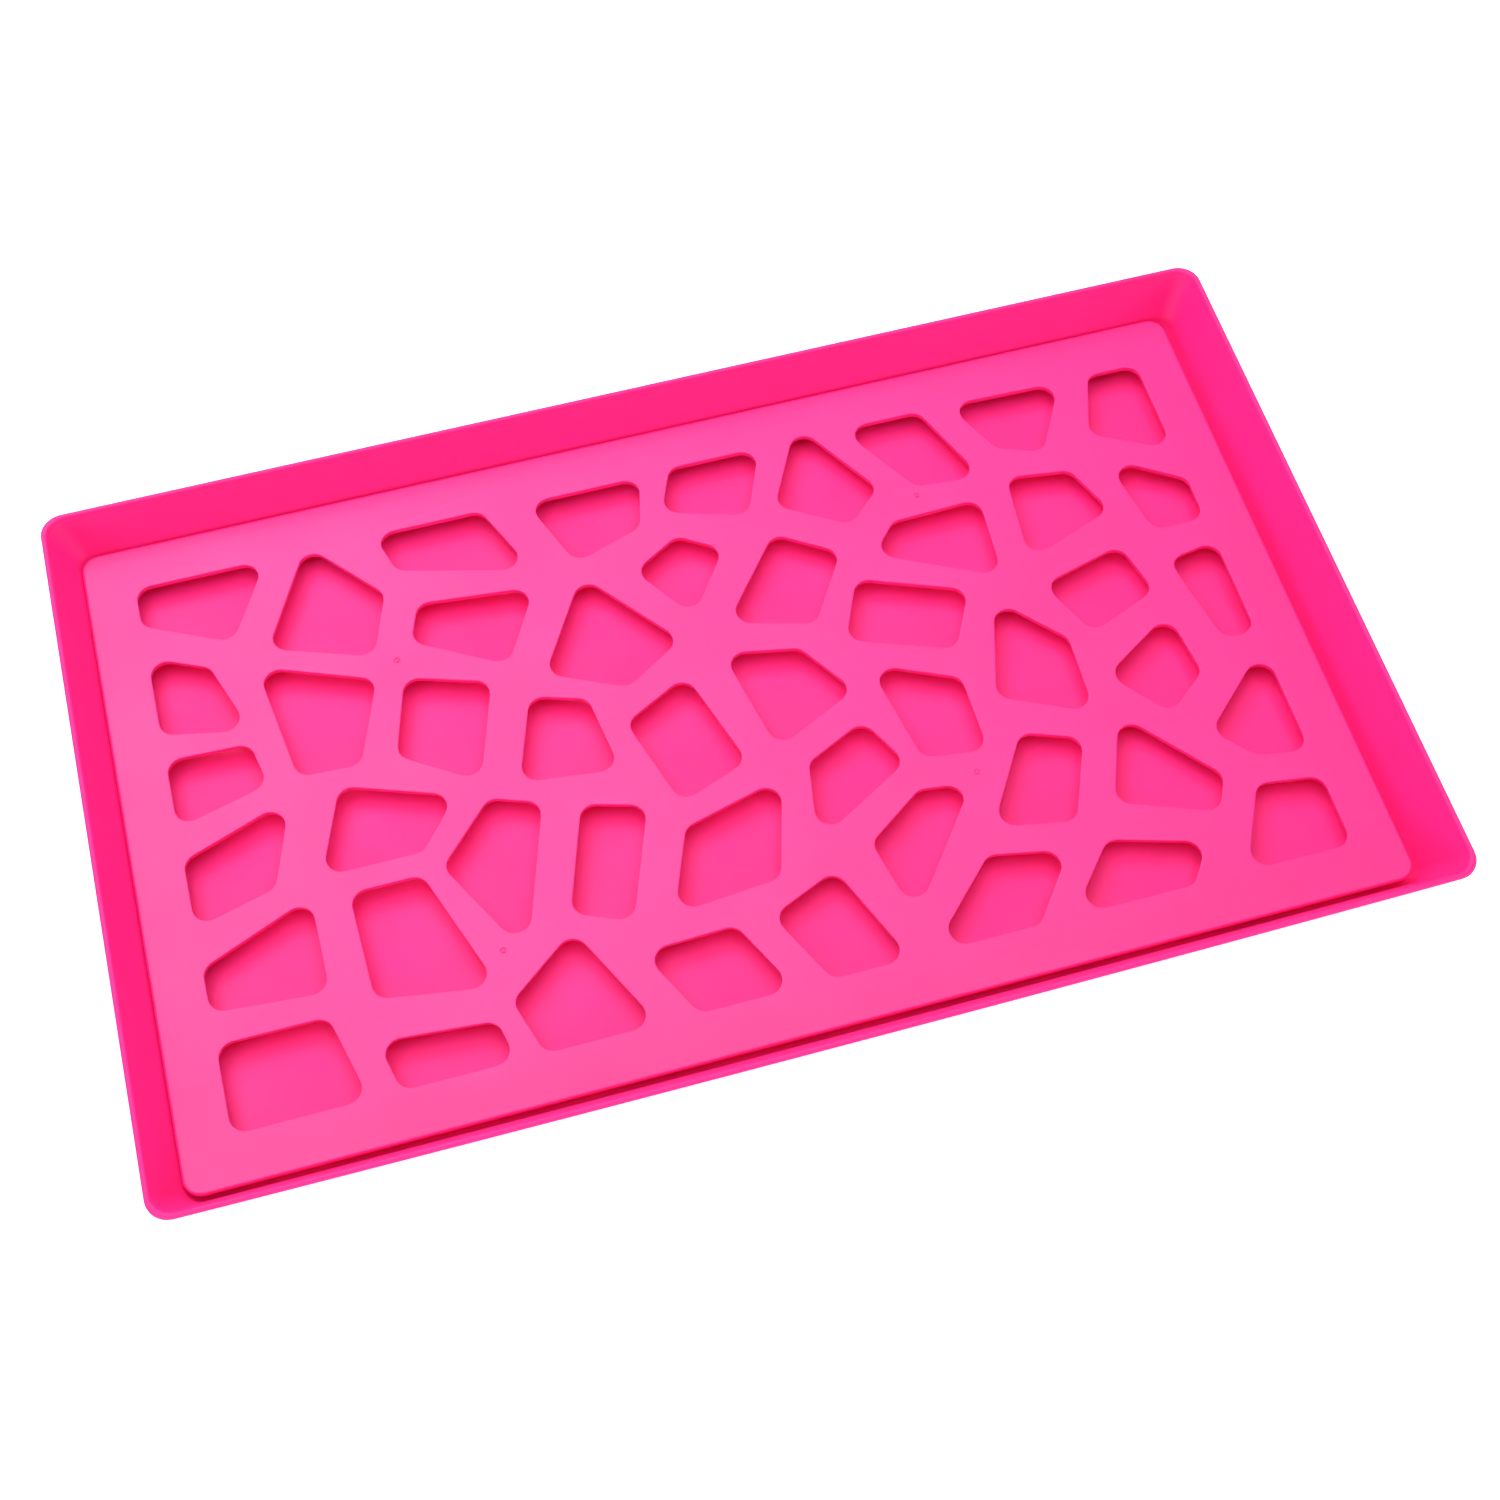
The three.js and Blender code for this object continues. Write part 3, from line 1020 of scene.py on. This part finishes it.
@dataclass
class DrainingInsert:
    """The moulded insert: a pierced plate with a rounded edge, on short feet."""

    finish: MouldedPlastic = INSERT_PLASTIC
    plate: float = 0.0025
    shoulder: float = 0.0011
    flare: float = 0.0008
    lower_edge: float = 0.0003
    opening_edge: float = 0.0002
    opening_draft: float = 0.0004
    foot_radius: float = 0.003
    foot_taper: float = 0.0005
    foot_root: float = 0.0006
    foot_rounding: float = 0.0006
    mark_radius: float = 0.001
    mark_depth: float = 0.0003
    mark_rim: float = 0.0003
    nub_radius: float = 0.0005
    nub_rise: float = 0.00015
    hold: float = 0.00015

    def sizes(self) -> dict[str, float]:
        """The tree's inputs, by name.

        Returns:
            A value in metres for each named size.
        """
        low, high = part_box(INSERT_NODE)
        return {
            "Top": high.z,
            "Underside": high.z - self.plate,
            "Foot Tip": low.z,
            "Shoulder": self.shoulder,
            "Flare": self.flare,
            "Lower Edge": self.lower_edge,
            "Opening Edge": self.opening_edge,
            "Opening Draft": self.opening_draft,
            "Opening Reach": self.opening_edge + self.opening_draft + self.hold,
            "Foot Radius": self.foot_radius,
            "Foot Taper": self.foot_taper,
            "Foot Root": self.foot_root,
            "Foot Rounding": self.foot_rounding,
            "Mark Radius": self.mark_radius,
            "Mark Depth": self.mark_depth,
            "Mark Rim": self.mark_rim,
            "Nub Radius": self.nub_radius,
            "Nub Rise": self.nub_rise,
            "Hold": self.hold,
        }

    def build(self) -> bpy.types.Object:
        """Grows the insert from its pattern.

        Returns:
            The finished piece.
        """
        source = bpy.data.objects.new("insert_pattern", InsertPattern.read().mesh())
        bpy.context.scene.collection.objects.link(source)
        tree = InsertTree().build()
        grow = source.modifiers.new("moulded_insert", "NODES")
        grow.node_group = tree
        material = self.finish.build()
        keys = {item.name: item.identifier for item in tree.interface.items_tree if item.in_out == "INPUT"}
        for name, size in self.sizes().items():
            grow[keys[name]] = size
        grow[keys["Material"]] = material
        seen = source.evaluated_get(bpy.context.evaluated_depsgraph_get())
        mesh = bpy.data.meshes.new_from_object(seen)
        source.modifiers.remove(grow)
        bpy.data.objects.remove(source)
        return self.dress(mesh, material)

    def dress(self, mesh: bpy.types.Mesh, material: bpy.types.Material) -> bpy.types.Object:
        """Gives the insert its finish and its place among the bodies.

        Args:
            mesh: The closed mesh.
            material: Its finish.

        Returns:
            The finished piece.
        """
        piece = finished_piece("insert_moulding", mesh, material)
        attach(piece, Body.INSERT.value)
        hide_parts(INSERT_NODE)
        return piece


# ---- the studio ---------------------------------------------------------------------------------


@dataclass(frozen=True)
class Softbox:
    """One soft light.

    Args:
        name: Its name.
        place: Where it hangs, in metres from the middle of the tray.
        size: Its width and depth.
        power: Its power, in watts.
        aim: The point that it faces.
    """

    name: str
    place: tuple[float, float, float]
    size: tuple[float, float]
    power: float
    aim: tuple[float, float, float] = (0.0, 0.0, 0.0)

    def build(self) -> bpy.types.Object:
        """Hangs the light.

        Returns:
            The light's object.
        """
        light = bpy.data.lights.new(self.name, "AREA")
        light.shape = "RECTANGLE"
        light.size, light.size_y = self.size
        light.energy = self.power
        holder = bpy.data.objects.new(self.name, light)
        holder.location = self.place
        facing = Vector(self.aim) - Vector(self.place)
        holder.rotation_euler = facing.to_track_quat("-Z", "Y").to_euler()
        bpy.context.scene.collection.objects.link(holder)
        return holder


@dataclass
class Studio:
    """A pale floor and soft light."""

    lights: tuple[Softbox, ...] = (
        Softbox("overhead_softbox", (-0.15, 0.25, 1.0), (1.5, 1.4), 16.5, (-0.15, 0.25, 0.0)),
        Softbox("far_left_softbox", (-0.40, 0.85, 1.0), (0.8, 0.8), 6.5),
        Softbox("front_left_softbox", (-1.05, -1.05, 0.50), (0.5, 0.5), 7.0),
        Softbox("front_right_softbox", (1.05, -1.05, 0.50), (0.5, 0.5), 5.0),
    )
    horizon_light: float = 1.05
    room_light: float = 0.13
    horizon_height: float = 0.34
    floor_glow: float = 0.78
    floor_size: float = 8.0
    floor_gap: float = 0.0002
    floor_colour: tuple[float, float, float] = (0.86, 0.86, 0.86)

    def build(self) -> None:
        """Sets up the floor, the lights and the room's own light."""
        for light in self.lights:
            light.build()
        self.room()
        self.floor()
        scene = bpy.context.scene
        scene.view_settings.view_transform = "Standard"
        scene.view_settings.look = "None"
        LOG.info("studio: %d softboxes, room light %.2f", len(self.lights), self.room_light)

    def room(self) -> None:
        """Fills the room with white light that is strongest low down, as from pale screens all round."""
        world = bpy.data.worlds.new("studio_room")
        world.use_nodes = True
        bench = NodeBench(world.node_tree)
        glow = world.node_tree.nodes["Background"]
        glow.inputs["Color"].default_value = (1.0, 1.0, 1.0, 1.0)
        way = bench.add("ShaderNodeTexCoord").outputs["Generated"]
        height = bench.add("ShaderNodeSeparateXYZ", {"Vector": way}).outputs["Z"]
        fade = bench.add(
            "ShaderNodeMapRange",
            {
                "Value": height, "From Min": 0.0, "From Max": self.horizon_height,
                "To Min": self.horizon_light, "To Max": self.room_light,
            },
            interpolation_type="SMOOTHSTEP",
        )
        bench.feed(glow.inputs["Strength"], fade.outputs["Result"])
        bpy.context.scene.world = world

    def floor(self) -> bpy.types.Object:
        """Lays the floor just clear of the face that the tray stands on.

        Returns:
            The floor's object.
        """
        low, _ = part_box(TRAY_NODE)
        half = self.floor_size / 2
        mesh = bpy.data.meshes.new("studio_floor")
        corners = [(-half, -half), (half, -half), (half, half), (-half, half)]
        level = low.z - self.floor_gap
        mesh.from_pydata([(x, y, level) for x, y in corners], [], [(0, 1, 2, 3)])
        floor = bpy.data.objects.new("studio_floor", mesh)
        bpy.context.scene.collection.objects.link(floor)
        material = bpy.data.materials.new("pale_floor")
        material.use_nodes = True
        bench = NodeBench(material.node_tree)
        shader = material.node_tree.nodes["Principled BSDF"]
        shader.inputs["Base Color"].default_value = (*self.floor_colour, 1.0)
        shader.inputs["Specular IOR Level"].default_value = 0.2
        shader.inputs["Emission Color"].default_value = (1.0, 1.0, 1.0, 1.0)
        shader.inputs["Emission Strength"].default_value = self.floor_glow
        place = bench.add("ShaderNodeTexCoord").outputs["Object"]
        paper = bench.add("ShaderNodeTexNoise", {"Vector": place, "Scale": 40.0, "Detail": 3.0})
        dull = bench.add(
            "ShaderNodeMapRange", {"Value": paper.outputs["Fac"], "To Min": 0.82, "To Max": 0.95}
        )
        bench.feed(shader.inputs["Roughness"], dull.outputs["Result"])
        mesh.materials.append(material)
        return floor


@dataclass
class Viewpoint:
    """The camera: above the near side, looking down along the tray from its left.

    Args:
        heading: How far the view is turned from +Y towards +X.
        pitch: How far it looks down from level.
        roll: How far the camera leans about its own view.
        aim: What it looks at, on the level of the lip, in half lengths of the tray from its middle.
        distance: How far it stands from there, in half lengths.
        lens: Its focal length, in mm on a sensor 36 mm wide.
    """

    heading: float = math.radians(15.863)
    pitch: float = math.radians(61.546)
    roll: float = math.radians(0.2615)
    aim: tuple[float, float] = (0.0006, -0.1114)
    distance: float = 3.4431
    lens: float = 53.82

    def build(self) -> bpy.types.Object:
        """Stands the camera.

        Returns:
            The camera's object, which is the scene's camera.
        """
        low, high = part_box(TRAY_NODE)
        half_length = (high.x - low.x) / 2
        look = Vector((
            math.sin(self.heading) * math.cos(self.pitch),
            math.cos(self.heading) * math.cos(self.pitch),
            -math.sin(self.pitch),
        ))
        level = Vector((math.cos(self.heading), -math.sin(self.heading), 0.0))
        upright = level.cross(look)
        right = level * math.cos(self.roll) + upright * math.sin(self.roll)
        up = upright * math.cos(self.roll) - level * math.sin(self.roll)
        target = Vector((self.aim[0] * half_length, self.aim[1] * half_length, high.z))
        target += Vector(((low.x + high.x) / 2, (low.y + high.y) / 2, 0.0))
        data = bpy.data.cameras.new("viewpoint")
        data.sensor_width = 36.0
        data.lens = self.lens
        data.clip_start = 0.01
        camera = bpy.data.objects.new("viewpoint", data)
        turned = Matrix((right, up, -look)).transposed()
        stand = Matrix.Translation(target - look * self.distance * half_length)
        camera.matrix_world = stand @ turned.to_4x4()
        bpy.context.scene.collection.objects.link(camera)
        bpy.context.scene.camera = camera
        LOG.info("viewpoint: lens %.2f mm", self.lens)
        return camera


# ---- the whole ----------------------------------------------------------------------------------


def main() -> None:
    """Builds the pieces, the studio and the viewpoint in order."""
    logging.basicConfig(level=logging.INFO, format="%(name)s: %(message)s")
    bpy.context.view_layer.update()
    for piece in (TrayShell().build(), DrainingInsert().build()):
        LOG.info("made %s", piece.name)
    Studio().build()
    Viewpoint().build()


if __name__ == "__main__":
    main()
